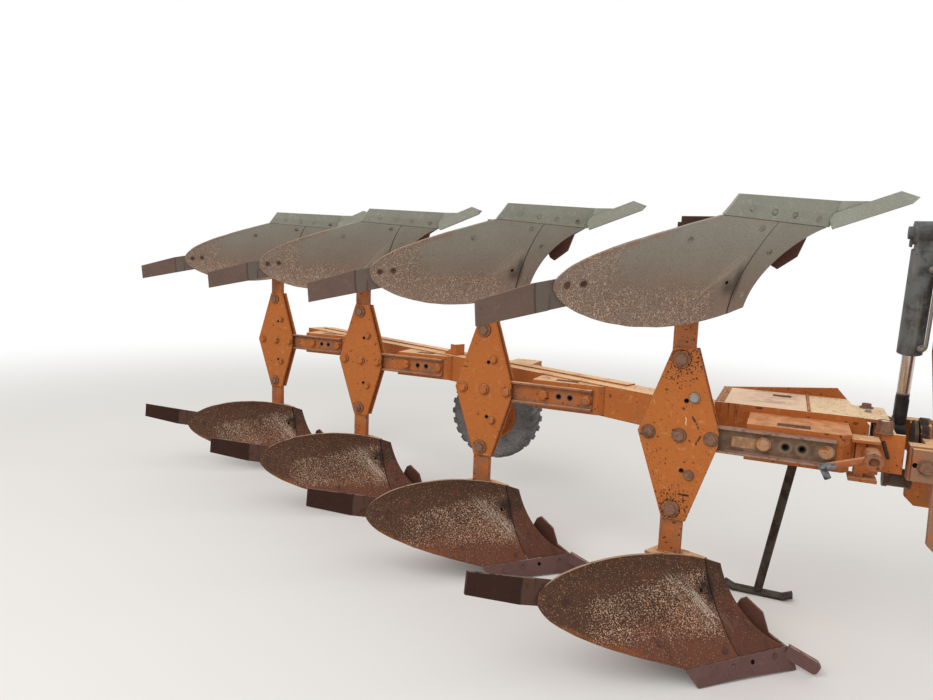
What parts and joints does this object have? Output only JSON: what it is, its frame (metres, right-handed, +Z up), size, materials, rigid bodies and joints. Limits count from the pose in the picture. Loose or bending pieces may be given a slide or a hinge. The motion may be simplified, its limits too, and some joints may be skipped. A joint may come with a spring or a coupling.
{
  "type": "mounted reversible moldboard plough",
  "caption": "Mounted reversible mouldboard plough with mirrored bodies on leg plates along a slanting beam, turnover headstock, depth wheel and parking stand.",
  "frame": {"origin": "midway between the middles of the two lower hitch pins, on their common axis", "axes": "+X forward along travel, +Y to the left of travel, +Z up"},
  "size_m": [4.4764, 2.1998, 1.7288],
  "materials": {
    "orange_paint": "weathered orange paint with chips and rust",
    "faded_paint": "sun-faded orange paint",
    "soil_rust": "rusted working steel with tan specks",
    "share_rust": "smooth red-brown rust",
    "worn_steel": "bare worn and rusty steel",
    "cylinder_black": "dark grey paint",
    "rod_chrome": "hard chrome",
    "tyre_rubber": "dusty rubber"
  },
  "bodies": {
    "headstock": {"headstock": "faded_paint", "mast": "faded_paint", "lower_link_arms": "orange_paint"},
    "cylinder_barrel": {"cylinder_barrel": "cylinder_black"},
    "cylinder_rod": {"cylinder_rod": "rod_chrome"},
    "frame": {"turnover_shaft": "worn_steel", "carriage": "orange_paint", "front_frame": "orange_paint", "width_adjuster": "orange_paint", "crank_handle": "faded_paint", "main_beam": "orange_paint", "beam_brackets": "orange_paint", "arm_1": "worn_steel", "arm_2": "orange_paint", "arm_3": "orange_paint", "arm_4": "orange_paint", "leg_plates_1": "orange_paint", "leg_plates_2": "orange_paint", "leg_plates_3": "orange_paint", "leg_plates_4": "orange_paint", "legs_lower": "orange_paint", "legs_upper": "orange_paint", "frogs_lower": "orange_paint", "frogs_upper": "orange_paint", "mouldboard_lower_1": "soil_rust", "mouldboard_lower_2": "soil_rust", "mouldboard_lower_3": "soil_rust", "mouldboard_lower_4": "soil_rust", "mouldboard_upper_1": "soil_rust", "mouldboard_upper_2": "soil_rust", "mouldboard_upper_3": "soil_rust", "mouldboard_upper_4": "soil_rust", "shins_lower": "soil_rust", "shins_upper": "soil_rust", "shares_lower": "share_rust", "shares_upper": "share_rust", "points_lower": "share_rust", "points_upper": "share_rust", "tails_lower": "share_rust", "tails_upper": "share_rust", "landsides_lower": "share_rust", "landsides_upper": "share_rust", "wheel_bracket": "orange_paint"},
    "wheel_arm": {"wheel_arm": "orange_paint"},
    "depth_wheel": {"wheel_rim": "faded_paint", "tyre": "tyre_rubber"},
    "parking_stand": {"parking_stand": "worn_steel"}
  },
  "joints": [
    {"name": "turnover", "type": "hinge", "parent": "headstock", "child": "frame", "pos_m": [-0.2, 0, 0.28], "axis": [1, 0, 0], "range_deg": [0, 180]},
    {"name": "cylinder_swing", "type": "hinge", "parent": "headstock", "child": "cylinder_barrel", "pos_m": [-0.25, 0, 1.04], "axis": [1, 0, 0], "range_deg": [-23.8, 0]},
    {"name": "cylinder_stroke", "type": "slide", "parent": "cylinder_barrel", "child": "cylinder_rod", "axis": [0, 0.206, -0.9785], "range_m": [-0.176, 0]},
    {"name": "wheel_arm_swing", "type": "hinge", "parent": "frame", "child": "wheel_arm", "pos_m": [-1.965, 0.7, 0.28], "axis": [0, 1, 0], "range_deg": [0, 94]},
    {"name": "wheel_spin", "type": "hinge", "parent": "wheel_arm", "child": "depth_wheel", "pos_m": [-2.27872, 0.965, -0.05642], "axis": [0, 1, 0], "continuous": true},
    {"name": "stand_fold", "type": "hinge", "parent": "frame", "child": "parking_stand", "pos_m": [-0.6, 0.14, 0.146], "axis": [0, 1, 0], "range_deg": [0, 80]}
  ],
  "couplings": [
    {"joint": "cylinder_swing", "follows": "turnover", "ratio": -0.1322}
  ]
}
